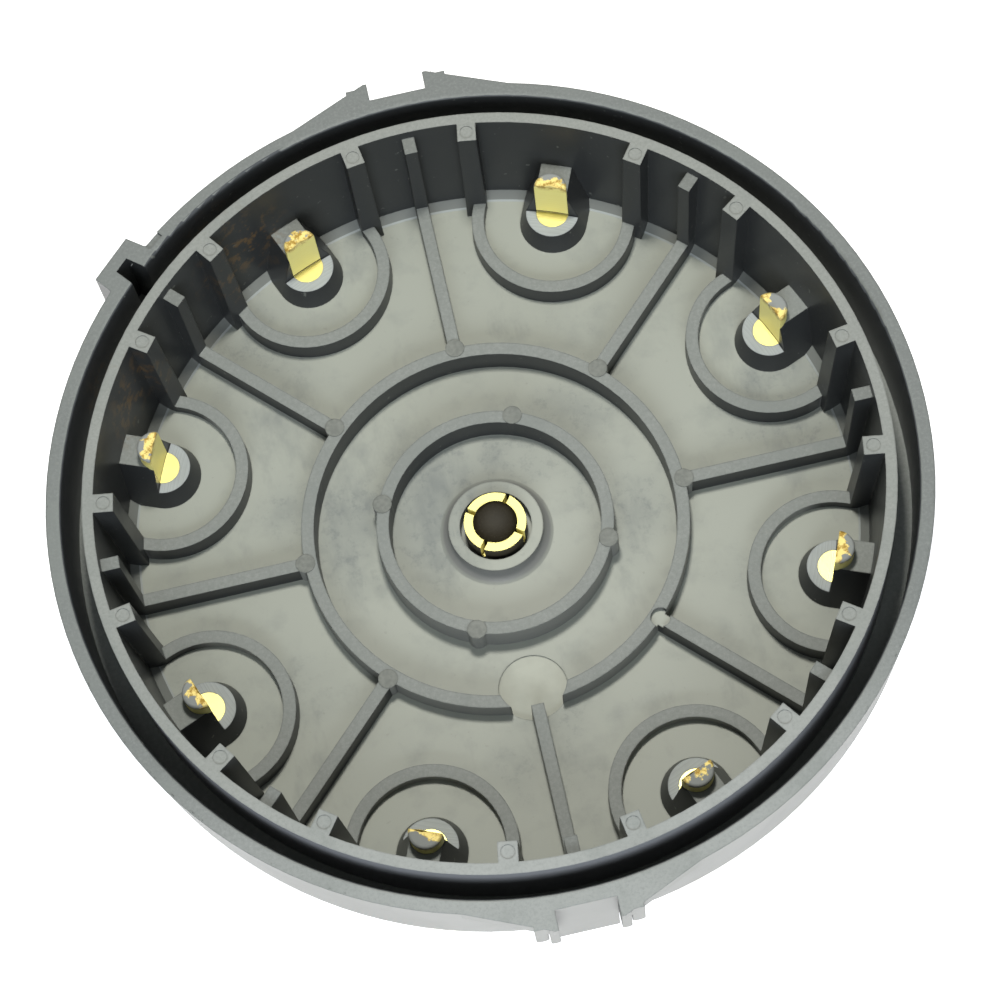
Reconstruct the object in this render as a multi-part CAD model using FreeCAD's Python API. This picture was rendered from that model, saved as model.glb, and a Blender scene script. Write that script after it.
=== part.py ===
import FreeCAD, Part
import math
import os

# Distributor cap for an eight-cylinder engine, seen from its open side.
# Z is the cap axis and points out of the open side. Z = 0 is the seating face of the outer rim.
# Y points to one clip seat, and the other seat is opposite.

# Layout
cylinders = 8
pitch = 360.0 / cylinders
terminalStart = pitch / 2
buttressOffset = 13.4

# Double rim
rimRadius = 70.0
rimWall = 2.4
grooveWidth = 3.46
innerWall = 1.8
innerWallProud = 0.6
grooveDepth = 13.5
grooveDraft = 0.25
rimEdgeRound = 0.6
skirtHeight = 16.8
skirtDraft = 0.9
shoulderRound = 1.0

# Bowl: a deep centre, a higher outer floor, and a raised bay round each terminal
floorDepth = 25.4
outerFloorDepth = 24.2
bayDepth = 22.2
deckWall = 2.8
wallDraft = 1.5
footChamferIn = 1.7
footChamferUp = 1.1
deckRound = 2.5

# Floor ribs
ribHeight = 5.1
ribWidth = 2.1
ribDraft = 0.12
outerRingRadius = 30.9
innerRingRadius = 18.5
padRadius = 1.6
padProud = 0.1
outerPadRadius = 31.8
innerPadRadius = 18.9
innerPadAngles = (69.0, 157.5, 249.0, 337.5)
sunkPadAngle = 315.0
sunkPadDepth = 1.0
gateAngle = 270.0
gateOffset = 27.9
gateRadius = 5.65
gateSink = 0.2
gateSpokeOverlap = 1.4

# Wall ribs
buttressWidth = 3.1
buttressFlare = 0.5
buttressReach = 3.25
buttressLean = 1.3
wallRibDrop = 1.8
wallRibReach = 3.05
wallRibLean = 0.5
markRadius = 1.1
markDepth = 0.12

# Terminals and their bosses
pinRadius = 2.75
pinInset = 6.54
faceStep = 3.96
pinTip = 13.4
pinTipRound = 0.5
bossFootRadius = 5.7
bossDraftAngle = 16.9
bossHeight = 10.2
shankRadius = 2.0
archRadius = 12.85
armBury = 0.4

# Towers
towerRadius = 6.0
towerHeight = 24.0
towerFootRadius = 8.2
towerFootHeight = 5.0
towerDraft = 0.35
towerEdge = 0.8
bootGrooveDepth = 0.7
bootGrooveWidth = 2.4
bootGrooveFromTip = 6.0
studRadius = 3.15
studHeight = 7.5
studNeckRadius = 2.3
studNeckHeight = 1.8
studRound = 1.4
centreStudShorter = 0.4

# Centre contact
bossLipRadius = 7.85
bossLipHeight = 2.8
bossBaseRadius = 9.4
bossWellRadius = 5.95
bossWellDepth = 2.6
sleeveOuter = 5.15
sleeveWall = 1.5
sleeveProud = 1.85
slitWidth = 0.7
slitAngle = 53.5
slitDepth = 3.4
brushClearance = 0.1
brushLength = 11.5
brushProud = 0.75
brushNose = 0.8
springWire = 0.55
springLength = 8.0
springTurns = 5.5
springClearance = 0.35
springStepsPerTurn = 12
springSides = 8
boreEndWall = 2.5
centreTowerWall = 2.1

# Clip seats
seatWidth = 9.5
seatProud = 0.05
seatDrop = 1.8
earProud = 3.2
earEnd = 18.4
earThickness = 2.8
earBlunt = 0.6
guideWidths = (1.5, 2.0)
guideGap = 0.15
guideHeights = (9.2, 8.0)

# Index tab
tabAngle = 135.0
tabProud = 3.25
tabHalfOuter = 4.3
tabHalfRoot = 4.9
pocketProud = 1.1
pocketHalfOuter = 1.4
pocketHalfRoot = 1.95
ledgeStart = 128.5
ledgeDrop = 0.4
ledgeWidth = 1.1

# Worked-out radii and levels
grooveOuter = rimRadius - rimWall
grooveInner = grooveOuter - grooveWidth
bowlRadius = grooveInner - innerWall
wallTop = innerWallProud
pinCircle = bowlRadius - pinInset
seatFace = rimRadius + seatProud
seatHeight = skirtHeight + seatDrop
earReach = rimRadius + earProud
tabReach = rimRadius + tabProud
pocketReach = rimRadius + pocketProud
ledgeInner = rimRadius - ledgeWidth
floorZ = -floorDepth
outerFloorZ = -outerFloorDepth
bayZ = -bayDepth
deckZ = floorZ - deckWall
ribTopZ = floorZ + ribHeight
bodyRadius = grooveInner + grooveDraft
terminalAngles = [terminalStart + pitch * i for i in range(cylinders)]
ribAngles = [pitch * i for i in range(cylinders)]
towerEndZ = deckZ - towerHeight
studEndZ = towerEndZ - studHeight
bossTopZ = bayZ + bossHeight
stepZ = bayZ + faceStep
bossSlope = math.tan(math.radians(bossDraftAngle))
bossTopRadius = bossFootRadius - bossHeight * bossSlope
lipZ = floorZ + bossLipHeight
sleeveTopZ = lipZ + sleeveProud
sleeveInner = sleeveOuter - sleeveWall
brushRadius = sleeveInner - brushClearance
brushTopZ = sleeveTopZ + brushProud
brushBackZ = brushTopZ - brushLength
boreEndZ = brushBackZ - springLength
insertEndZ = boreEndZ - boreEndWall
centreTowerRadius = sleeveOuter + centreTowerWall

up = FreeCAD.Vector(0, 0, 1)
origin = FreeCAD.Vector(0, 0, 0)


def vec(x, y, z=0.0):
    return FreeCAD.Vector(x, y, z)


def polar(radius, angle, z=0.0):
    a = math.radians(angle)
    return vec(radius * math.cos(a), radius * math.sin(a), z)


def turned(shape, angle):
    copy = shape.copy()
    copy.rotate(origin, up, angle)
    return copy


def polygonFace(points):
    return Part.Face(Part.makePolygon(points + [points[0]]))


def revolved(section):
    # section is a closed list of (radius, height) corners
    face = polygonFace([vec(r, 0, z) for r, z in section])
    return face.revolve(origin, up, 360)


def quarter(centreR, centreZ, radius, startAngle, endAngle):
    # arc through its middle point, in the radius and height plane
    middle = (startAngle + endAngle) / 2
    places = []
    for angle in (startAngle, middle, endAngle):
        a = math.radians(angle)
        places.append(vec(centreR + radius * math.cos(a), 0, centreZ + radius * math.sin(a)))
    return Part.Arc(*places).toShape()


def chained(pieces):
    # joins arcs by straight lines and closes the outline; a bare corner is a vector
    edges = []
    first = None
    last = None
    for piece in pieces:
        isCorner = isinstance(piece, FreeCAD.Vector)
        start = piece if isCorner else piece.firstVertex(True).Point
        end = piece if isCorner else piece.lastVertex(True).Point
        if last is not None and last.distanceToPoint(start) > 1e-6:
            edges.append(Part.makeLine(last, start))
        if not isCorner:
            edges.append(piece)
        first = start if first is None else first
        last = end
    edges.append(Part.makeLine(last, first))
    return Part.Face(Part.Wire(edges))


def wallAt(z):
    # radius of the drafted bowl wall at a height
    return bowlRadius - wallDraft * (wallTop - z) / (wallTop - outerFloorZ)


def wallFoot(z):
    # the wall's foot chamfer where it meets a floor at this height
    top = wallAt(z + footChamferUp)
    return [(top, z + footChamferUp), (top - footChamferIn, z)]


def shell():
    # bowl, inner wall, ring groove, outer wall and skirt in one turned section
    skirtFoot = rimRadius - skirtDraft
    bodyFoot = bodyRadius + grooveDraft
    foot = [vec(r, 0, z) for r, z in wallFoot(outerFloorZ)]
    section = chained([
        vec(0, 0, deckZ),
        quarter(bodyFoot - deckRound, deckZ + deckRound, deckRound, -90, 0),
        vec(bodyFoot, 0, -skirtHeight),
        quarter(skirtFoot - shoulderRound, shoulderRound - skirtHeight, shoulderRound, -90, 0),
        vec(rimRadius, 0, 0),
        quarter(grooveOuter + rimEdgeRound, -rimEdgeRound, rimEdgeRound, 90, 180),
        vec(grooveOuter - grooveDraft, 0, -grooveDepth),
        vec(grooveInner, 0, -grooveDepth),
        vec(grooveInner, 0, wallTop),
        vec(bowlRadius, 0, wallTop),
        *foot,
        vec(outerRingRadius, 0, outerFloorZ),
        vec(outerRingRadius, 0, floorZ),
        vec(0, 0, floorZ),
    ])
    return section.revolve(origin, up, 360)


def terminalBays():
    # raised floors inside the arches, each with the wall's foot chamfer above it
    root = bowlRadius + innerWall / 2
    buried = floorZ - deckWall / 2
    height = deckWall + floorDepth
    plan = Part.makeCylinder(archRadius, height, vec(pinCircle, 0, buried))
    plan = plan.fuse(Part.makeBox(root - pinCircle, archRadius * 2, height,
                                  vec(pinCircle, -archRadius, buried)))
    raised = revolved([(0, buried), (root, buried), (root, bayZ + footChamferUp),
                       *wallFoot(bayZ), (0, bayZ)])
    bay = plan.common(raised)
    return [turned(bay, angle) for angle in terminalAngles]


def ringRib(radius):
    half = ribWidth / 2
    foot = half + ribDraft
    buried = floorZ - deckWall / 2
    return revolved([
        (radius - foot, buried),
        (radius + foot, buried),
        (radius + foot, floorZ),
        (radius + half, ribTopZ),
        (radius - half, ribTopZ),
        (radius - foot, floorZ),
    ])


def radialBar(start, end, width, draft, bottom, top, angle):
    # drafted bar along a radius, wider at its foot
    half = width / 2
    foot = half + draft
    face = polygonFace([
        vec(start, -foot, bottom),
        vec(start, foot, bottom),
        vec(start, half, top),
        vec(start, -half, top),
    ])
    return turned(face.extrude(vec(end - start, 0, 0)), angle)


def floorSpoke(angle):
    end = bowlRadius - wallRibReach
    return radialBar(outerRingRadius, end, ribWidth, ribDraft, floorZ, ribTopZ, angle)


def wallWeb(width, flare, reach, lean, top, angle):
    # web on the bowl wall, its inner edge leaning in towards the floor
    root = bowlRadius + innerWall / 2
    inner = bowlRadius - reach
    half = width / 2
    foot = half + flare / 2
    upper = Part.makePolygon([
        vec(inner, -half, top), vec(root, -half, top), vec(root, half, top),
        vec(inner, half, top), vec(inner, -half, top)])
    lower = Part.makePolygon([
        vec(inner - lean, -foot, floorZ), vec(root, -foot, floorZ), vec(root, foot, floorZ),
        vec(inner - lean, foot, floorZ), vec(inner - lean, -foot, floorZ)])
    return turned(Part.makeLoft([lower, upper], True, True), angle)


def buttress(angle):
    web = wallWeb(buttressWidth, buttressFlare, buttressReach, buttressLean, wallTop, angle)
    markCentre = polar(bowlRadius - buttressReach / 2, angle, wallTop - markDepth)
    return web.cut(Part.makeCylinder(markRadius, markDepth * 2, markCentre))


def wallRib(angle):
    return wallWeb(ribWidth, ribDraft * 2, wallRibReach, wallRibLean, wallTop - wallRibDrop, angle)


def halfSpaceBox(fromX, side):
    # box that keeps what lies on one side of a plane across the first terminal's radius
    size = archRadius * 4
    left = fromX if side > 0 else fromX - size
    return Part.makeBox(size, size, size, vec(left, -size / 2, floorZ - size / 2))


def archRib(angle):
    # half ring round the terminal, its arms running on into the fronts of the buttresses
    half = ribWidth / 2
    centre = vec(pinCircle, 0, floorZ)
    outer = Part.makeCone(archRadius + half + ribDraft, archRadius + half, ribHeight, centre)
    inner = Part.makeCone(archRadius - half - ribDraft, archRadius - half, ribHeight, centre)
    rib = outer.cut(inner).common(halfSpaceBox(pinCircle, -1))
    lean = buttressLean * (wallTop - ribTopZ) / (wallTop - floorZ)
    front = bowlRadius - buttressReach - lean
    armEnd = front * math.cos(math.radians(buttressOffset)) + armBury
    parts = [rib]
    for side in (-1, 1):
        arm = radialBar(pinCircle, armEnd, ribWidth, ribDraft, floorZ, ribTopZ, 0)
        arm.translate(vec(0, side * archRadius, 0))
        parts.append(arm)
    return turned(parts[0].fuse(parts[1:]), angle)


def pinBoss(angle):
    # cone round the pin, drawn out to the wall by a bar of the same draft
    top = bossTopRadius
    cone = Part.makeCone(bossFootRadius, top, bossHeight, vec(pinCircle, 0, bayZ))
    run = bowlRadius + innerWall / 2
    draft = bossFootRadius - top
    bar = radialBar(pinCircle, run, top * 2, draft, bayZ, bossTopZ, 0)
    whole = cone.fuse(bar)
    turnedFace = Part.makeCylinder(pinCircle, bossHeight, vec(0, 0, stepZ))
    return turned(whole.cut(turnedFace), angle)


def floorPad(radius, angle):
    height = ribHeight + padProud
    return Part.makeCylinder(padRadius, height, polar(radius, angle, floorZ))


def centreBoss():
    # low boss with a hollow flank, its lip round a well for the contact sleeve
    flank = Part.Arc(
        vec(bossBaseRadius, 0, floorZ),
        vec(bossLipRadius + (bossBaseRadius - bossLipRadius) * 0.3, 0, floorZ + bossLipHeight * 0.3),
        vec(bossLipRadius, 0, lipZ)).toShape()
    face = chained([vec(0, 0, floorZ - deckWall / 2), vec(bossBaseRadius, 0, floorZ - deckWall / 2),
                    flank, vec(0, 0, lipZ)])
    return face.revolve(origin, up, 360)


def towerSection(radius, footRadius, endZ):
    # turned outline of a lead tower with its foot flare and boot groove
    grooveTop = endZ + bootGrooveFromTip + bootGrooveWidth
    grooveFoot = endZ + bootGrooveFromTip
    footZ = deckZ - towerFootHeight
    neck = radius + towerDraft
    return [
        (0, deckZ + deckWall / 2),
        (footRadius, deckZ + deckWall / 2),
        (footRadius, deckZ),
        ((footRadius + neck) / 2 - towerDraft, deckZ - towerFootHeight / 3),
        (neck, footZ),
        (radius, grooveTop),
        (radius - bootGrooveDepth, grooveTop - bootGrooveDepth),
        (radius - bootGrooveDepth, grooveFoot + bootGrooveDepth),
        (radius, grooveFoot),
        (radius, endZ + towerEdge),
        (radius - towerEdge, endZ),
        (0, endZ),
    ]


def outerTower(angle):
    tower = revolved(towerSection(towerRadius, towerFootRadius, towerEndZ))
    tower.translate(vec(pinCircle, 0, 0))
    return turned(tower, angle)


def centreTower():
    # wider root round the contact sleeve, then the same tower as the others
    tower = revolved(towerSection(towerRadius, centreTowerRadius + 2, towerEndZ))
    rootEnd = insertEndZ - centreTowerWall
    root = revolved([
        (0, deckZ + deckWall / 2),
        (centreTowerRadius, deckZ + deckWall / 2),
        (centreTowerRadius, rootEnd + towerEdge * 2),
        (towerRadius - towerDraft, rootEnd - towerEdge),
        (0, rootEnd - towerEdge),
    ])
    return tower.fuse(root)


def clipSeat():
    # flat clip face between two wedge ears, on the +Y side
    inner = rimRadius - rimWall / 2
    face = Part.makeBox(seatWidth, seatFace - inner, seatHeight,
                        vec(-seatWidth / 2, inner, -seatHeight))
    backed = Part.makeBox(seatWidth, seatFace - bodyRadius, seatHeight - skirtHeight + shoulderRound,
                          vec(-seatWidth / 2, bodyRadius - 1, -seatHeight))
    parts = [face, backed]
    rootY = math.sqrt(inner * inner - earEnd * earEnd)
    tangentY = math.sqrt(rimRadius * rimRadius - earEnd * earEnd)
    for side in (-1, 1):
        edge = side * seatWidth / 2
        ear = polygonFace([
            vec(edge, inner), vec(edge, earReach), vec(edge + side * earBlunt, earReach),
            vec(side * earEnd, tangentY), vec(side * earEnd, rootY)])
        parts.append(ear.extrude(vec(0, 0, -earThickness)))
        parts += earGuides(edge, side)
    return parts


def earGuides(edge, side):
    # two upright guide ribs under an ear, with rounded lower ends
    slope = (earReach - rimRadius) / (earEnd - seatWidth / 2)
    parts = []
    place = 0.0
    for width, height in zip(guideWidths, guideHeights):
        reach = earReach - slope * (place + width) * 0.8
        inner = rimRadius - rimWall / 2
        left = edge + side * place if side > 0 else edge - place - width
        straight = height - width / 2
        web = Part.makeBox(width, reach - inner, straight, vec(left, inner, -straight))
        end = Part.makeCylinder(width / 2, reach - inner, vec(left + width / 2, inner, -straight),
                                vec(0, 1, 0))
        parts += [web, end]
        place += width + guideGap
    return parts


def tabBlock():
    # square bulge of the outer wall; its pocket is cut afterwards
    inner = rimRadius - rimWall / 2
    face = polygonFace([
        vec(inner, -tabHalfRoot), vec(tabReach, -tabHalfOuter),
        vec(tabReach, tabHalfOuter), vec(inner, tabHalfRoot)])
    return turned(face.extrude(vec(0, 0, -skirtHeight)), tabAngle)


def tabPocket():
    start = grooveOuter - grooveWidth / 2
    face = polygonFace([
        vec(start, -pocketHalfRoot), vec(pocketReach, -pocketHalfOuter),
        vec(pocketReach, pocketHalfOuter), vec(start, pocketHalfRoot)])
    return turned(face.extrude(vec(0, 0, -grooveDepth)), tabAngle)


def rimLedge():
    # shallow step in the rim beside the tab
    sweep = tabAngle - math.degrees(tabHalfRoot / rimRadius) - ledgeStart
    corners = [vec(ledgeInner, 0, -ledgeDrop), vec(rimRadius * 1.02, 0, -ledgeDrop),
               vec(rimRadius * 1.02, 0, ledgeDrop), vec(ledgeInner, 0, ledgeDrop)]
    return turned(polygonFace(corners).revolve(origin, up, sweep), ledgeStart)


def gateCut():
    # round sunk clearing over the gate, through the ribs and both floors
    return Part.makeCylinder(gateRadius, ribHeight * 2,
                             polar(gateOffset, gateAngle, floorZ - gateSink))


def gateSpoke():
    # inner end of the spoke that stands over the edge of the gate
    end = gateOffset + gateRadius
    return radialBar(end - gateSpokeOverlap, end + ribWidth, ribWidth, ribDraft,
                     floorZ - deckWall / 2, ribTopZ, gateAngle)


def studSection(endZ, rootZ, radius):
    # lead stud: neck, head and rounded end, below a shank that runs up to rootZ
    headZ = endZ + studHeight - studNeckHeight
    return [
        vec(0, 0, rootZ),
        vec(radius, 0, rootZ),
        vec(radius, 0, endZ + studHeight),
        vec(studNeckRadius, 0, endZ + studHeight),
        vec(studNeckRadius, 0, headZ),
        vec(studRadius, 0, headZ),
        quarter(studRadius - studRound, endZ + studRound, studRound, 0, -90),
        vec(0, 0, endZ),
    ]


def plugTerminal(angle):
    # one turned pin: inside end with the faced flat, shank, and stud at the tower's end
    rootZ = deckZ
    lower = chained(studSection(studEndZ, rootZ, shankRadius)).revolve(origin, up, 360)
    pinTopZ = bayZ + pinTip
    upper = chained([
        vec(0, 0, rootZ),
        vec(pinRadius, 0, rootZ),
        quarter(pinRadius - pinTipRound, pinTopZ - pinTipRound, pinTipRound, 0, 90),
        vec(0, 0, pinTopZ),
    ]).revolve(origin, up, 360)
    pin = lower.fuse(upper)
    pin.translate(vec(pinCircle, 0, 0))
    turnedFace = Part.makeCylinder(pinCircle, pinTip, vec(0, 0, stepZ))
    return turned(pin.cut(turnedFace), angle)


def centreTerminal():
    # brass insert: slotted sleeve, spring bore, shank and stud
    endZ = studEndZ + centreStudShorter
    lower = chained(studSection(endZ, insertEndZ, shankRadius)).revolve(origin, up, 360)
    sleeve = Part.makeCylinder(sleeveOuter, sleeveTopZ - insertEndZ, vec(0, 0, insertEndZ))
    bore = Part.makeCylinder(sleeveInner, sleeveTopZ - boreEndZ, vec(0, 0, boreEndZ))
    insert = lower.fuse(sleeve).cut(bore)
    for turn in (0, 90):
        slit = Part.makeBox(sleeveOuter * 3, slitWidth, slitDepth,
                            vec(-sleeveOuter * 1.5, -slitWidth / 2, sleeveTopZ - slitDepth))
        insert = insert.cut(turned(slit, slitAngle + turn))
    return insert


def carbonBrush():
    # plain carbon rod with a rounded nose
    nose = quarter(brushRadius - brushNose, brushTopZ - brushNose, brushNose, 0, 90)
    outline = [vec(0, 0, brushBackZ), vec(brushRadius, 0, brushBackZ), nose, vec(0, 0, brushTopZ)]
    return chained(outline).revolve(origin, up, 360)


def brushSpring():
    # open-ended compression spring, lofted through small sections along its helix
    half = springWire / 2
    coilRadius = sleeveInner - springClearance - half
    steps = round(springTurns * springStepsPerTurn)
    corners = [360.0 * k / springSides for k in range(springSides + 1)]
    sections = []
    for step in range(steps + 1):
        z = boreEndZ + half + (springLength - springWire) * step / steps
        section = []
        for corner in corners:
            a = math.radians(corner)
            section.append(polar(coilRadius + half * math.cos(a), 360.0 * step / springStepsPerTurn,
                                 z + half * math.sin(a)))
        sections.append(Part.makePolygon(section))
    return Part.makeLoft(sections, True, True)


def capBody(inserts):
    parts = [shell(), centreBoss(), centreTower(), ringRib(outerRingRadius), ringRib(innerRingRadius)]
    for angle in terminalAngles:
        parts += [pinBoss(angle), archRib(angle), outerTower(angle)]
        parts += [buttress(angle - buttressOffset), buttress(angle + buttressOffset)]
    for angle in ribAngles:
        parts += [floorSpoke(angle), wallRib(angle)]
        if angle not in (sunkPadAngle, gateAngle):
            parts.append(floorPad(outerPadRadius, angle))
    parts += [floorPad(innerPadRadius, angle) for angle in innerPadAngles]
    parts += terminalBays()
    parts += clipSeat()
    parts += [turned(part, 180) for part in clipSeat()]
    parts.append(tabBlock())
    body = parts[0].multiFuse(parts[1:])
    sunk = Part.makeCylinder(padRadius, sunkPadDepth * 2,
                             polar(outerPadRadius, sunkPadAngle, ribTopZ - sunkPadDepth))
    well = Part.makeCylinder(bossWellRadius, bossWellDepth * 2, vec(0, 0, lipZ - bossWellDepth))
    body = body.cut([gateCut(), sunk, well, tabPocket(), rimLedge()])
    body = body.fuse(gateSpoke())
    return body.cut(inserts).removeSplitter()


def solidInsert():
    # centre terminal without its bore and slits, for the moulding round it
    endZ = studEndZ + centreStudShorter
    lower = chained(studSection(endZ, insertEndZ, shankRadius)).revolve(origin, up, 360)
    sleeve = Part.makeCylinder(sleeveOuter, sleeveTopZ - insertEndZ, vec(0, 0, insertEndZ))
    return lower.fuse(sleeve)


def build():
    os.makedirs("parts", exist_ok=True)
    terminals = [plugTerminal(angle) for angle in terminalAngles]
    body = capBody(terminals + [solidInsert()])
    nodes = {"cap_body": body}
    for number, terminal in enumerate(terminals, start=1):
        nodes["terminal_%d" % number] = terminal
    nodes["centre_terminal"] = centreTerminal()
    nodes["carbon_brush"] = carbonBrush()
    nodes["brush_spring"] = brushSpring()
    for name, shape in nodes.items():
        shape.exportStep("parts/%s.step" % name)
        print(name, "solids", len(shape.Solids), "valid", shape.isValid(),
              "volume", round(shape.Volume, 1), "box", shape.BoundBox)


build()
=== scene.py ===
import math
import random

import bmesh
import bpy
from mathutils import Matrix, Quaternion, Vector


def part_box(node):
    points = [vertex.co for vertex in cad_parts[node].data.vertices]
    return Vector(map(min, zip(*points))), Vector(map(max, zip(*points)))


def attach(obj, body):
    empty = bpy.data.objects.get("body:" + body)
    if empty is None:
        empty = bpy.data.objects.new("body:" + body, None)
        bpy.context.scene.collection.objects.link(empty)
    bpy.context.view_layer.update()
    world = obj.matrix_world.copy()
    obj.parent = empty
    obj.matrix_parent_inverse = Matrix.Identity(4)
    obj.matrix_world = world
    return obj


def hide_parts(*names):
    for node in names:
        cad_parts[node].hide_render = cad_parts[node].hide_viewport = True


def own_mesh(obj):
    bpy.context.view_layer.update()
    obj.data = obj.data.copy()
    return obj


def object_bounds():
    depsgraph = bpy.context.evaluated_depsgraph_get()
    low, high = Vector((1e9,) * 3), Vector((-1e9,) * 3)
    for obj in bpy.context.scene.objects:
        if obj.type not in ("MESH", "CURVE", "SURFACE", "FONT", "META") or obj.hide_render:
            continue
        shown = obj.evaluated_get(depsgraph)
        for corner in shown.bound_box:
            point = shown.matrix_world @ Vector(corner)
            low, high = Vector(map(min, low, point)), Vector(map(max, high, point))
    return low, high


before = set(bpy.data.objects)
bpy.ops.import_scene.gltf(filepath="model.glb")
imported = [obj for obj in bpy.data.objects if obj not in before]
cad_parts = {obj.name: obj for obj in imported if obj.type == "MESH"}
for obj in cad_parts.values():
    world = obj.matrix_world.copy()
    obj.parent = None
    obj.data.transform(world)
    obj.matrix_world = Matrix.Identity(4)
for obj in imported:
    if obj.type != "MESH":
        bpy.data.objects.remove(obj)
solidLow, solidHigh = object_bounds()
print("frame loaded:", len(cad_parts), "solids")


def addNode(tree, kind, settings=None, **values):
    # settings are set first, then the values or links of the sockets (in0 is the first one)
    made = tree.nodes.new(kind)
    for setting, value in (settings or {}).items():
        setattr(made, setting, value)
    for socket, value in values.items():
        key = int(socket[2:]) if socket.startswith("in") else socket.replace("_", " ")
        if isinstance(value, Socket):
            value = value.out
        if isinstance(value, bpy.types.NodeSocket):
            tree.links.new(value, made.inputs[key])
        else:
            made.inputs[key].default_value = value
    return made


class Socket:
    # wraps a node output, so that shader maths reads as plain sums
    def __init__(self, tree, out):
        self.tree = tree
        self.out = out

    def maths(self, operation, other, third=0.0, swap=False):
        first, second = (other, self) if swap else (self, other)
        made = addNode(self.tree, "ShaderNodeMath", {"operation": operation},
                       in0=first, in1=second, in2=third)
        return Socket(self.tree, made.outputs[0])

    def __add__(self, other):
        return self.maths("ADD", other)

    def __radd__(self, other):
        return self.maths("ADD", other)

    def __sub__(self, other):
        return self.maths("SUBTRACT", other)

    def __rsub__(self, other):
        return self.maths("SUBTRACT", other, swap=True)

    def __mul__(self, other):
        return self.maths("MULTIPLY", other)

    def __rmul__(self, other):
        return self.maths("MULTIPLY", other)

    def __truediv__(self, other):
        return self.maths("DIVIDE", other)

    def __pow__(self, other):
        return self.maths("POWER", other)

    def near(self, level, reach):
        return self.maths("COMPARE", level, reach)

    def ramped(self, low, high):
        # runs from 0 at low to 1 at high, and stays there
        made = addNode(self.tree, "ShaderNodeMapRange", Value=self, From_Min=low, From_Max=high)
        return Socket(self.tree, made.outputs[0])


class Shader:
    # one material: makes its nodes, and joins them to a principled surface
    def __init__(self, name, **fixed):
        self.material = bpy.data.materials.new(name)
        self.material.use_nodes = True
        self.tree = self.material.node_tree
        self.surface = self.tree.nodes["Principled BSDF"]
        for socket, value in fixed.items():
            self.surface.inputs[socket.replace("_", " ")].default_value = value

    def node(self, kind, settings=None, output=0, **values):
        made = addNode(self.tree, "ShaderNode" + kind, settings, **values)
        return Socket(self.tree, made.outputs[output])

    def place(self):
        return self.node("TexCoord", output="Object")

    def facing(self):
        # the direction that the surface faces
        return self.node("NewGeometry", output="Normal")

    def split(self, vector):
        made = addNode(self.tree, "ShaderNodeSeparateXYZ", in0=vector)
        return [Socket(self.tree, out) for out in made.outputs]

    def noise(self, vector, scale, detail=3.0, roughness=0.5, stretch=(1, 1, 1)):
        drawn = self.node("VectorMath", {"operation": "MULTIPLY"}, in0=vector, in1=stretch)
        return self.node("TexNoise", Vector=drawn, Scale=scale, Detail=detail,
                         Roughness=roughness)

    def lineNoise(self, value, scale, detail):
        # noise along one number, for turned lines
        return self.node("TexNoise", {"noise_dimensions": "1D"}, W=value * scale, Scale=1.0,
                         Detail=detail)

    def apart(self, vector, spot):
        # distance from a fixed place, in metres
        return self.node("VectorMath", {"operation": "DISTANCE"}, "Value", in0=vector, in1=spot)

    def relief(self, height, depth, strength, edge):
        # bump of a given depth over rounded edges
        rounded = self.node("Bevel", {"samples": 2}, Radius=edge)
        return self.node("Bump", Height=height, Distance=depth, Strength=strength,
                         Normal=rounded)

    def blend(self, factor, first, second):
        # mixes two colours, each a link or a plain triple
        first, second = [colour if isinstance(colour, Socket) else (*colour, 1)
                         for colour in (first, second)]
        return self.node("Mix", {"data_type": "RGBA"}, 2, in0=factor, in6=first, in7=second)

    def join(self, **values):
        for socket, value in values.items():
            self.tree.links.new(value.out, self.surface.inputs[socket.replace("_", " ")])
        return self.material


def polar(radius, angle, z=0.0):
    turn = math.radians(angle)
    return Vector((radius * math.cos(turn), radius * math.sin(turn), z))


def shaded(colour, share):
    return tuple(share * part for part in colour)


# heights and radii of the moulding's own faces, in metres
levels = {"ribTop": -0.0203, "step": -0.01824, "bay": -0.0222, "outerFloor": -0.0242,
          "gate": -0.0256, "pinTop": -0.0088}
radii = {"pinCircle": 0.0558, "gate": 0.00565, "gateOffset": 0.0279, "skirt": 0.0668}
flat = 0.0001  # how far from its level a face still counts as on it

plastic = {
    # colours by place; those of level, vertical and sloping faces, the groove, the skirt, the wall
    # foot, the near rim and the pin corner are painted light and shade
    "floor": (0.335, 0.352, 0.306), "wall": (0.031, 0.033, 0.034), "skirt": (0.30, 0.29, 0.265),
    "groove": (0.26, 0.265, 0.28), "back": (0.21, 0.214, 0.205), "slope": (0.07, 0.075, 0.08),
    "footHighlight": (0.42, 0.45, 0.44), "machined": (0.38, 0.41, 0.41), "gate": (0.46, 0.475, 0.41),
    "ribTop": (0.215, 0.23, 0.216), "webTop": (0.165, 0.176, 0.165),
    "wallTop": (0.255, 0.267, 0.25), "rimTop": (0.175, 0.188, 0.183),
    "nearRimLight": (0.33, 0.345, 0.335), "corner": (0.01, 0.01, 0.01),
    "padDark": (0.15, 0.16, 0.145), "padPale": (0.20, 0.21, 0.19),
    # marks over them
    "smudge": (0.205, 0.222, 0.21), "speck": (0.24, 0.25, 0.22), "brown": (0.13, 0.08, 0.035),
    "speckleDark": (0.10, 0.11, 0.10), "speckleLight": (0.42, 0.43, 0.41),
    # radius, angle, height and reach of each brown stain
    "stains": ((0.061, 121, -0.009, 0.011), (0.0605, 150, -0.008, 0.010)),
    "gloss": 0.28, "grain": 0.00002, "edge": 0.00035,
}
# noise sizes, larger for finer marks
marks = {"cloud": 34.0, "drift": 70.0, "mottle": 150.0, "stain": 420.0, "tear": 500.0,
         "grit": 560.0, "speck": 900.0, "pad": 1400.0, "speckle": 1900.0, "cutLines": 5200.0}
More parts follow.
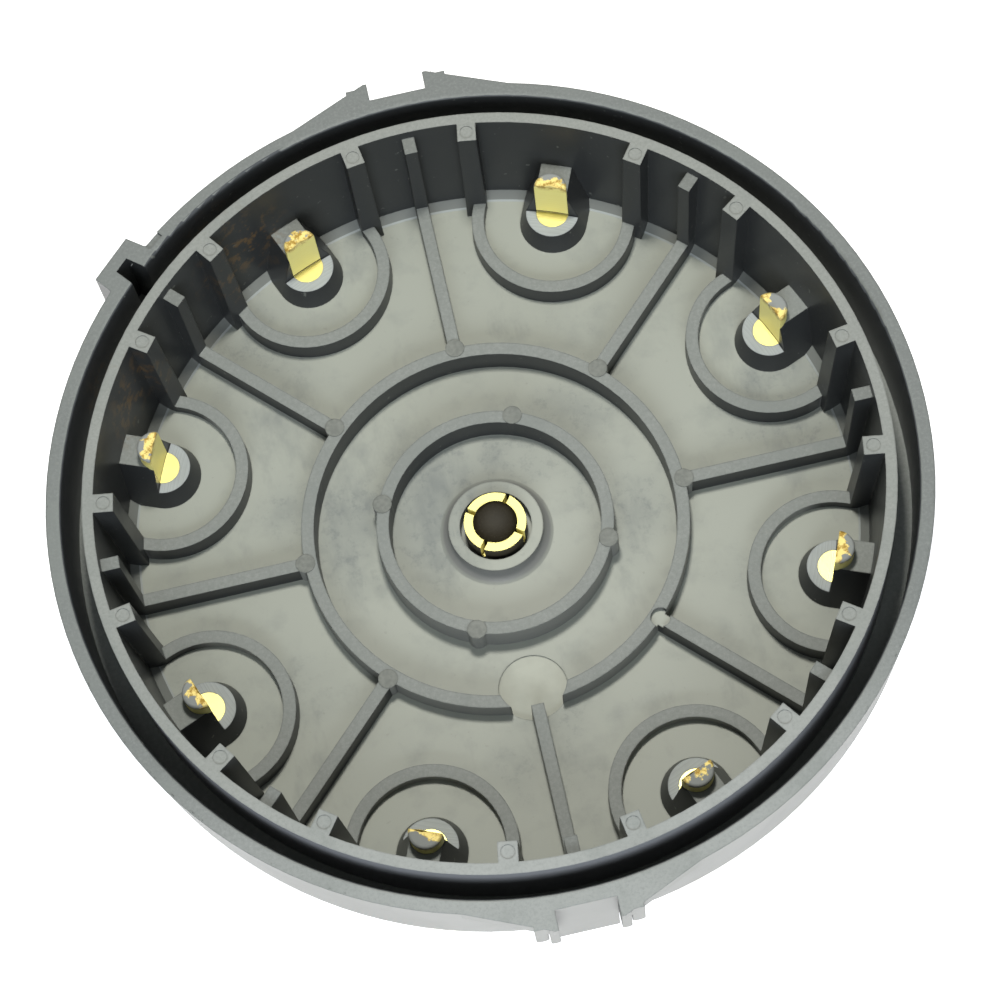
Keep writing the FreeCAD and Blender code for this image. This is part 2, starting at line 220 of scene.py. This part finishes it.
# where one finish gives way to the next: shares of facing up or out, radii and heights
levelFace, slopeFace, outFace = (0.78, 0.96), (0.45, 0.6), (0.1, 0.4)
turns = {"groove": (0.0630, 0.0634), "foot": (0.0560, 0.0570), "outerRim": (0.0655, 0.0660),
         "under": (-0.0265, -0.0272), "outerUnder": (-0.0180, -0.0188),
         "webTop": (-0.0105, -0.0095), "rim": (-0.0012, -0.0006), "nearRim": (-0.035, -0.062)}


def mouldedPlastic():
    made = Shader("mouldedPlastic", Specular_IOR_Level=plastic["gloss"])
    place = made.place()
    x, y, z = made.split(place)
    radius = (x * x + y * y) ** 0.5
    facingX, facingY, facingZ = made.split(made.facing())
    upward = facingZ.ramped(*levelFace)
    outward = ((facingX * x + facingY * y) / radius).ramped(*outFace)
    broad = made.noise(place, marks["cloud"], 4.0)
    middle = made.noise(place, marks["mottle"], 4.0, 0.6)

    # vertical faces are smooth and painted dark as shade, level ones are dull and painted pale as
    # lit from above, and the outside is the palest: painted light and shade by facing
    # the outward faces in the groove get a paler colour: painted light standing in for the fill
    # that reaches into it
    side = made.blend(outward * radius.ramped(*turns["groove"]), plastic["wall"],
                      plastic["groove"])
    side = made.blend(facingZ.ramped(*slopeFace), side, plastic["slope"])
    under = z.ramped(*turns["under"]).maths("MAXIMUM", outward * z.ramped(*turns["outerUnder"]))
    side = made.blend(under, side, plastic["back"])
    # the outside skirt gets a pale colour: painted light from the bright surroundings
    side = made.blend(outward * radius.ramped(radii["skirt"], radii["skirt"] + 0.0008), side,
                      plastic["skirt"])
    colour = made.blend(upward, side, plastic["floor"])
    # a painted highlight on the narrow slope at the foot of each wall, where a small fillet would
    # catch the light
    footHighlight = (z.near(levels["bay"] + flat, flat) + z.near(levels["outerFloor"] + flat, flat)) * \
        facingZ.ramped(0.6, 0.7) * (1 - upward) * radius.ramped(*turns["foot"])
    colour = made.blend(footHighlight, colour, plastic["footHighlight"])

    # the tops of ribs, webs and rims, with their fine speckle
    speckle = made.noise(place, marks["speckle"], 3.0, 0.7)
    ribTops = z.ramped(levels["ribTop"] - 0.0004, levels["ribTop"] - 0.0002) * upward
    ribTone = made.blend(z.ramped(*turns["webTop"]), plastic["ribTop"], plastic["webTop"])
    colour = made.blend(ribTops, colour, ribTone)
    rims = z.ramped(*turns["rim"]) * upward
    rimTone = made.blend(radius.ramped(*turns["outerRim"]), plastic["wallTop"], plastic["rimTop"])
    # the rim tops are painted lighter towards the near side: painted light where the front lamp
    # catches the rounded rim
    rimTone = made.blend(y.ramped(*turns["nearRim"]) * 0.8, rimTone, plastic["nearRimLight"])
    colour = made.blend(rims, colour, rimTone)
    colour = made.blend(speckle.ramped(0.5, 0.8) * ribTops * 0.3, colour, plastic["speckleDark"])
    colour = made.blend(speckle.ramped(0.5, 0.2) * ribTops * 0.25, colour,
                        plastic["speckleLight"])

    # handling smudges and the moulding's own cloudiness
    drift = made.noise(place, marks["drift"], 5.0, 0.7, (1.0, 0.45, 1.0))
    grit = made.noise(place, marks["grit"], 4.0, 0.75).ramped(0.52, 0.66) * \
        broad.ramped(0.47, 0.60)
    cloud = broad.ramped(0.48, 0.70) * 0.5 + middle.ramped(0.52, 0.75) * 0.35 + \
        drift.ramped(0.56, 0.70) * 0.45 + grit * 0.32
    colour = made.blend(cloud * upward, colour, plastic["smudge"])
    speck = made.noise(place, marks["speck"], 2.0).ramped(0.70, 0.76)
    colour = made.blend(speck * 0.35, colour, plastic["speck"])

    # faces turned on the lathe with the pins, and a black line of painted shade in the corner at
    # each pin's flat
    turnedStep = z.near(levels["step"], flat) * upward
    streaks = made.lineNoise(radius, marks["cutLines"], 4.0)
    machined = made.blend(streaks.ramped(0.35, 0.7) * 0.4 + middle.ramped(0.4, 0.7) * 0.3,
                          plastic["machined"], shaded(plastic["machined"], 0.62))
    colour = made.blend(turnedStep, colour, machined)
    corner = turnedStep * radius.ramped(radii["pinCircle"] - 0.00022, radii["pinCircle"] - 0.00008)
    colour = made.blend(corner, colour, plastic["corner"])

    # the broken-off gate, and the dull ends of ejector pins
    gateReach = made.apart(place, (0, -radii["gateOffset"], levels["gate"]))
    ragged = gateReach + (middle - 0.5) * 0.0006
    gate = ragged.ramped(radii["gate"] + 0.0002, radii["gate"] - 0.0003) * \
        z.near(levels["gate"], flat)
    gateTone = made.blend(middle.ramped(0.35, 0.65), plastic["gate"],
                          shaded(plastic["gate"], 0.86))
    colour = made.blend(gate, colour, gateTone)
    padTops = z.near(levels["ribTop"] + 0.0001, 0.00004) * upward
    padTone = made.noise(place, marks["pad"], 3.0).ramped(0.35, 0.7)
    colour = made.blend(padTops, colour,
                        made.blend(padTone, plastic["padDark"], plastic["padPale"]))

    # brown stains on the wall
    for stainRadius, angle, height, reach in plastic["stains"]:
        spot = made.apart(place, polar(stainRadius, angle, height))
        stain = spot.ramped(reach, reach * 0.3) * \
            made.noise(place, marks["stain"], 5.0, 0.7).ramped(0.52, 0.6)
        colour = made.blend(stain * 0.8, colour, plastic["brown"])

    rough = 0.42 + ribTops * 0.06 + rims * 0.04 + broad * 0.08 + gate * 0.12 + cloud * 0.08 - \
        (1 - upward) * 0.1
    grain = speckle * 0.3 + middle * 0.3 + gate * made.noise(place, marks["tear"], 3.0) * 1.4 + \
        turnedStep * streaks * 0.9
    return made.join(Base_Color=colour, Roughness=rough,
                     Normal=made.relief(grain, plastic["grain"], 0.5, plastic["edge"]))


brass = {
    "bright": (0.98, 0.89, 0.32), "shade": (0.95, 0.83, 0.27), "level": (0.58, 0.52, 0.20),
    "pinEnd": (0.90, 0.74, 0.27), "skin": (0.27, 0.285, 0.275), "tarnish": (0.42, 0.26, 0.04),
    "corner": (0.06, 0.04, 0.01), "recessShade": (0.07, 0.06, 0.04),
    "faceLines": 6500.0, "sideLines": 4200.0, "patches": 430.0, "stain": 800.0,
    "grain": 0.00002, "edge": 0.00012,
}


def turnedBrass():
    # bright where the lathe cut it, and a dull moulding skin on the pin's end
    made = Shader("turnedBrass")
    place = made.place()
    x, y, z = made.split(place)
    radius = (x * x + y * y) ** 0.5
    facingX, facingY, facingZ = made.split(made.facing())
    upward = facingZ.ramped(0.4, 0.8)
    outward = ((facingX * x + facingY * y) / radius).ramped(0.3, 0.6)
    streaks = made.lineNoise(radius, brass["faceLines"], 4.0) * upward + \
        made.lineNoise(z, brass["sideLines"], 3.0) * (1 - upward)
    patches = made.noise(place, brass["patches"], 4.0, 0.6)
    colour = made.blend(streaks.ramped(0.3, 0.75), brass["bright"], brass["shade"])
    # level faces get a darker colour than the sides: painted shade by facing, which tones down the
    # lamp's glare on them
    colour = made.blend(upward, colour, brass["level"])

    # the pin's end, with tarnish and what the moulding left on it
    ends = z.ramped(levels["pinTop"] - 0.0009, levels["pinTop"] - 0.0003)
    colour = made.blend(ends, colour, brass["pinEnd"])
    tarnish = made.noise(place, brass["stain"], 5.0, 0.65).ramped(0.48, 0.60) * \
        z.ramped(levels["pinTop"] - 0.0016, levels["pinTop"] - 0.0003)
    colour = made.blend(tarnish, colour, brass["tarnish"])
    skin = ends * (patches * 1.6 + (radius - radii["pinCircle"]) * 160.0).ramped(0.95, 1.01)
    colour = made.blend(skin, colour, brass["skin"])

    # painted shade: dark in the corner of the step, and round the sleeve inside its bore
    corner = z.near(levels["step"] + 0.0002, 0.00016) * (1 - upward)
    colour = made.blend(corner, colour, brass["corner"])
    recessShade = radius.ramped(0.0075, 0.0070) * outward * z.ramped(-0.0270, -0.0265)
    colour = made.blend(recessShade, colour, brass["recessShade"])
    uncut = 1 - z.near(levels["step"], flat) * upward
    metal = (1 - skin - (1 - upward) * (1 - skin) * 0.9) * (1 - ends * 0.6)
    rough = 0.36 + ends * 0.15 + uncut * 0.1 + skin * 0.15 + streaks * 0.08
    return made.join(Base_Color=colour, Metallic=metal, Roughness=rough,
                     Normal=made.relief(streaks + patches * 0.5, brass["grain"], 0.6,
                                        brass["edge"]))


carbon = {"outer": (0.016, 0.012, 0.005), "litMiddle": (0.034, 0.031, 0.025),
          "grain": (0.055, 0.049, 0.036), "track": (0.10, 0.085, 0.055),
          "grains": 2600.0, "clouds": 420.0, "depth": 0.00003, "edge": 0.0001, "gloss": 0.15}


def pressedCarbon():
    # gritty, and lighter towards the middle: a painted highlight on the domed end, with a faint
    # polished track where the rotor runs on it
    made = Shader("pressedCarbon", Specular_IOR_Level=carbon["gloss"])
    place = made.place()
    grains = made.noise(place, carbon["grains"], 4.0, 0.7)
    clouds = made.noise(place, carbon["clouds"], 3.0)
    x, y, z = made.split(place)
    radius = (x * x + y * y) ** 0.5
    track = radius.ramped(0.0030, 0.0012) * z.ramped(-0.0202, -0.02)
    colour = made.blend(radius.ramped(0.0030, 0.0006), carbon["outer"], carbon["litMiddle"])
    colour = made.blend(grains.ramped(0.5, 0.75) * 0.4, colour, carbon["grain"])
    colour = made.blend(track * clouds * 0.2, colour, carbon["track"])
    rough = 0.62 + grains * 0.2 - track * 0.06
    return made.join(Base_Color=colour, Roughness=rough,
                     Normal=made.relief(grains, carbon["depth"], 0.7, carbon["edge"]))


wire = {"bright": (0.50, 0.50, 0.48), "dull": (0.36, 0.35, 0.33), "lines": 1800.0}


def drawnWire():
    made = Shader("drawnWire", Metallic=1.0)
    lines = made.noise(made.place(), wire["lines"], 3.0, 0.6)
    colour = made.blend(lines, wire["bright"], wire["dull"])
    return made.join(Base_Color=colour, Roughness=0.25 + lines * 0.2)


def dress(nodeName, material):
    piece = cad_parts[nodeName]
    piece.data.materials.clear()
    piece.data.materials.append(material)


dress("cap_body", mouldedPlastic())
brassMetal = turnedBrass()
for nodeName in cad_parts:
    if "terminal" in nodeName:
        dress(nodeName, brassMetal)
dress("carbon_brush", pressedCarbon())
print("materials made")


def addObject(name, data):
    made = bpy.data.objects.new(name, data)
    bpy.context.scene.collection.objects.link(made)
    return made


def meshPiece(name, mesh, material):
    # turns a bmesh into a piece, with its faces outwards
    bmesh.ops.recalc_face_normals(mesh, faces=mesh.faces[:])
    data = bpy.data.meshes.new(name)
    mesh.to_mesh(data)
    mesh.free()
    data.materials.append(material)
    return addObject(name, data)


def joinRings(mesh, rings):
    # skins a row of vertex rings, and closes its two ends
    for near, far in zip(rings, rings[1:]):
        for step in range(len(near)):
            after = (step + 1) % len(near)
            mesh.faces.new((near[step], far[step], far[after], near[after]))
    mesh.faces.new(rings[0])
    mesh.faces.new(rings[-1][::-1])


flash = {"rimRadius": 0.06965, "rimZ": -0.0001, "count": 150, "seed": 11, "lean": 0.25,
         "thick": (0.00008, 0.00016), "length": (0.0003, 0.0012), "reach": (0.0001, 0.0003),
         "tip": 0.12, "arc": (-0.70, 1.13), "crowd": 0.13, "stray": 0.05, "unround": 0.00005,
         "light": (0.24, 0.25, 0.24), "dark": (0.16, 0.17, 0.165), "mottle": 700.0}


class FlakeTree:
    # geometry nodes that scatter thin ragged fins of moulding flash round a circle
    def __init__(self):
        self.tree = bpy.data.node_groups.new("flashFlakes", "GeometryNodeTree")
        face = self.tree.interface
        face.new_socket("Geometry", in_out="OUTPUT", socket_type="NodeSocketGeometry")
        self.names = {}
        for label, kind in (("Count", "Int"), ("Seed", "Int"), ("Radius", "Float"),
                            ("Height", "Float"), ("Lean", "Float"), ("Material", "Material")):
            made = face.new_socket(label, in_out="INPUT", socket_type="NodeSocket" + kind)
            self.names[label] = made.identifier
        self.entry = self.tree.nodes.new("NodeGroupInput").outputs

    def chance(self, low, high, step):
        # a random number for each flake; the step keeps the draws apart
        made = addNode(self.tree, "FunctionNodeRandomValue", {"data_type": "FLOAT"},
                       in2=low, in3=high, Seed=self.maths("ADD", self.entry["Seed"], step))
        return made.outputs[1]

    def maths(self, operation, first, second=0.0):
        return addNode(self.tree, "ShaderNodeMath", {"operation": operation}, in0=first,
                       in1=second).outputs[0]

    def triple(self, x, y, z):
        return addNode(self.tree, "ShaderNodeCombineXYZ", X=x, Y=y, Z=z).outputs[0]

    def fill(self):
        # flakes crowd in some places, on the two arcs clear of the clip seats and the tab
        coarse = self.maths("SNAP", self.chance(*flash["arc"], 1), flash["crowd"])
        half = self.maths("MULTIPLY", self.maths("ROUND", self.chance(0.0, 1.0, 8)), math.pi)
        angle = self.maths("ADD", self.maths("ADD", coarse, half),
                           self.chance(-flash["stray"], flash["stray"], 2))
        radius = self.maths("ADD", self.entry["Radius"],
                            self.chance(-flash["unround"], flash["unround"], 3))
        where = self.triple(self.maths("MULTIPLY", radius, self.maths("COSINE", angle)),
                            self.maths("MULTIPLY", radius, self.maths("SINE", angle)),
                            self.entry["Height"])
        points = addNode(self.tree, "GeometryNodePoints", Count=self.entry["Count"],
                         Position=where)
        fin = addNode(self.tree, "GeometryNodeMeshCone", {"fill_type": "NGON"}, Vertices=5,
                      Radius_Bottom=0.5, Depth=1.0)
        size = self.triple(self.chance(*flash["thick"], 4), self.chance(*flash["length"], 5),
                           self.chance(*flash["reach"], 6))
        turn = self.triple(self.chance(-flash["tip"], flash["tip"], 7), self.entry["Lean"],
                           angle)
        placed = addNode(self.tree, "GeometryNodeInstanceOnPoints", Points=points.outputs[0],
                         Instance=fin.outputs["Mesh"], Rotation=turn, Scale=size)
        solid = addNode(self.tree, "GeometryNodeRealizeInstances", Geometry=placed.outputs[0])
        coated = addNode(self.tree, "GeometryNodeSetMaterial", Geometry=solid.outputs[0],
                         Material=self.entry["Material"])
        addNode(self.tree, "NodeGroupOutput", in0=coated.outputs[0])
        return self


def scattered(name, trees, values):
    # runs the nodes once, and keeps the result as a plain mesh
    carrier = addObject(name + "Carrier", bpy.data.meshes.new(name + "Carrier"))
    modifier = carrier.modifiers.new("flakes", "NODES")
    modifier.node_group = trees.tree
    for label, value in values.items():
        modifier[trees.names[label]] = value
    bpy.context.view_layer.update()
    depsgraph = bpy.context.evaluated_depsgraph_get()
    mesh = bpy.data.meshes.new_from_object(carrier.evaluated_get(depsgraph))
    bpy.data.objects.remove(carrier)
    return addObject(name, mesh)


def tornPlastic():
    made = Shader("flashPlastic", Roughness=0.5)
    tone = made.noise(made.place(), flash["mottle"], 3.0)
    return made.join(Base_Color=made.blend(tone, flash["light"], flash["dark"]))


rimFlash = scattered("rimFlash", FlakeTree().fill(),
                     {"Count": flash["count"], "Seed": flash["seed"],
                      "Radius": flash["rimRadius"], "Height": flash["rimZ"],
                      "Lean": flash["lean"], "Material": tornPlastic()})
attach(rimFlash, "cap")

burr = {"pins": 8, "firstAngle": 22.5, "columns": 17, "width": 0.0048, "spread": 0.0008,
        "height": (0.00025, 0.0007), "ragged": 0.00006, "peak": 0.35, "thick": 0.0002,
        "tip": 0.00003, "foot": 0.0004, "seed": 7}


def pinBurr(number, angle):
    # a sliver of brass that the facing tool pushed up along the top of a pin's flat
    draw = random.Random(burr["seed"] + number)
    peak = draw.uniform(-burr["peak"], burr["peak"]) * burr["width"]
    high = draw.uniform(*burr["height"])
    mesh = bmesh.new()
    rings = []
    for column in range(burr["columns"]):
        across = (column / (burr["columns"] - 1) - 0.5) * burr["width"]
        crest = high * math.exp(-((across - peak) / burr["spread"]) ** 2)
        crest += draw.uniform(0, burr["ragged"])
        crest *= math.sin(math.pi * (column + 0.3) / (burr["columns"] - 0.4))  # low at its ends
        ring = []
        for outward, z in ((-burr["tip"], -burr["foot"]), (-0.00004, crest),
                           (burr["tip"], crest), (burr["thick"], -burr["foot"])):
            spot = Vector((radii["pinCircle"] + outward, across, levels["pinTop"] + z))
            spot.rotate(Quaternion((0, 0, 1), math.radians(angle)))
            ring.append(mesh.verts.new(spot))
        rings.append(ring)
    joinRings(mesh, rings)
    piece = meshPiece("pinBurr%d" % number, mesh, brassMetal)
    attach(piece, "cap")


for number in range(burr["pins"]):
    pinBurr(number + 1, burr["firstAngle"] + 360 / burr["pins"] * number)

spring = {"turns": 5.5, "steps": 32, "sides": 12, "wire": 0.000275, "travel": 0.0025}


def coiledSpring():
    # the wire coil behind the brush; the real one shortens as the brush is pushed in, and this one
    # is built at one fixed length
    low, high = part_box("brush_spring")
    coil = (high[0] - low[0]) / 2 - spring["wire"]
    length = high[2] - low[2] - 2 * spring["wire"]
    count = round(spring["turns"] * spring["steps"])
    mesh = bmesh.new()
    rings = []
    for step in range(count + 1):
        angle = 360.0 * step / spring["steps"]
        height = low[2] + spring["wire"] + length * step / count
        ring = []
        for side in range(spring["sides"]):
            turn = math.tau * side / spring["sides"]
            ring.append(mesh.verts.new(polar(coil + spring["wire"] * math.cos(turn), angle,
                                             height + spring["wire"] * math.sin(turn))))
        rings.append(ring)
    joinRings(mesh, rings)
    piece = meshPiece("coiledSpring", mesh, drawnWire())
    for face in piece.data.polygons:
        face.use_smooth = len(face.vertices) == 4
    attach(piece, "cap")
    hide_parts("brush_spring")
    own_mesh(piece)


coiledSpring()
print("added pieces made")

floorLook = {"size": 3.0, "colour": (0.9, 0.9, 0.9), "seen": 0.78, "drift": 3.0}


def paleFloor():
    # white to the camera and to mirrors, with the part's soft shadow kept on it
    bpy.ops.mesh.primitive_plane_add(size=floorLook["size"], location=(0, 0, solidLow.z))
    floor = bpy.context.object
    floor.name = "paleFloor"
    made = Shader("paleFloor", Roughness=0.9, Emission_Strength=1.0)
    tone = made.noise(made.place(), floorLook["drift"], 2.0)
    colour = made.blend(tone, floorLook["colour"], shaded(floorLook["colour"], 0.99))
    path = addNode(made.tree, "ShaderNodeLightPath").outputs
    seen = [Socket(made.tree, path["Is %s Ray" % kind])
            for kind in ("Camera", "Glossy", "Transmission")]
    glow = (seen[0] + seen[1] + seen[2]) * floorLook["seen"]
    white = made.blend(glow, (0, 0, 0), (1, 1, 1))
    floor.data.materials.append(made.join(Base_Color=colour, Emission_Color=white))


studio = {"strength": 0.19, "colour": (0.90, 0.96, 1.0)}


def studioWorld():
    # white to the camera, and a plain soft light to the part
    world = bpy.data.worlds.new("studio")
    bpy.context.scene.world = world
    world.use_nodes = True
    tree = world.node_tree
    background = tree.nodes["Background"]
    background.inputs["Color"].default_value = (*studio["colour"], 1)
    seen = Socket(tree, addNode(tree, "ShaderNodeLightPath").outputs["Is Camera Ray"])
    level = seen * (1 - studio["strength"]) + studio["strength"]
    tree.links.new(level.out, background.inputs["Strength"])


# distance, azimuth, tilt from straight above, size, power and colour
lamps = {"near": (0.345, 80, 14, 0.052, 1.0, (1.0, 0.98, 0.91)),
         "front": (0.6, 262, 60, 0.4, 3.2, (0.88, 0.94, 1.0))}


def softLamp(name, distance, azimuth, tilt, size, power, colour):
    # a square lamp aimed at the bowl
    lean = math.radians(tilt)
    place = polar(distance * math.sin(lean), azimuth, distance * math.cos(lean))
    lamp = bpy.data.lights.new(name, "AREA")
    lamp.shape = "SQUARE"
    lamp.size = size
    lamp.energy = power
    lamp.color = colour
    made = addObject(name, lamp)
    made.location = place
    made.rotation_mode = "QUATERNION"
    made.rotation_quaternion = (-place).to_track_quat("-Z", "Y")


paleFloor()
studioWorld()
for name, values in lamps.items():
    softLamp(name, *values)

view = {"place": (-0.00648, -0.16462, 0.4113), "target": (0.001213, -0.004553, 0.0),
        "roll": -10.21, "lens": 101.5, "sensor": 36.0, "clipStart": 0.01}


def photoCamera():
    data = bpy.data.cameras.new("photoCamera")
    data.lens = view["lens"]
    data.sensor_width = view["sensor"]
    data.clip_start = view["clipStart"]
    camera = addObject("photoCamera", data)
    camera.location = view["place"]
    camera.rotation_mode = "QUATERNION"
    aimed = (Vector(view["target"]) - Vector(view["place"])).to_track_quat("-Z", "Y")
    camera.rotation_quaternion = aimed @ Quaternion((0, 0, 1), math.radians(view["roll"]))
    bpy.context.scene.camera = camera


photoCamera()
bpy.context.scene.view_settings.view_transform = "Standard"
print("stage, lamps and camera made")
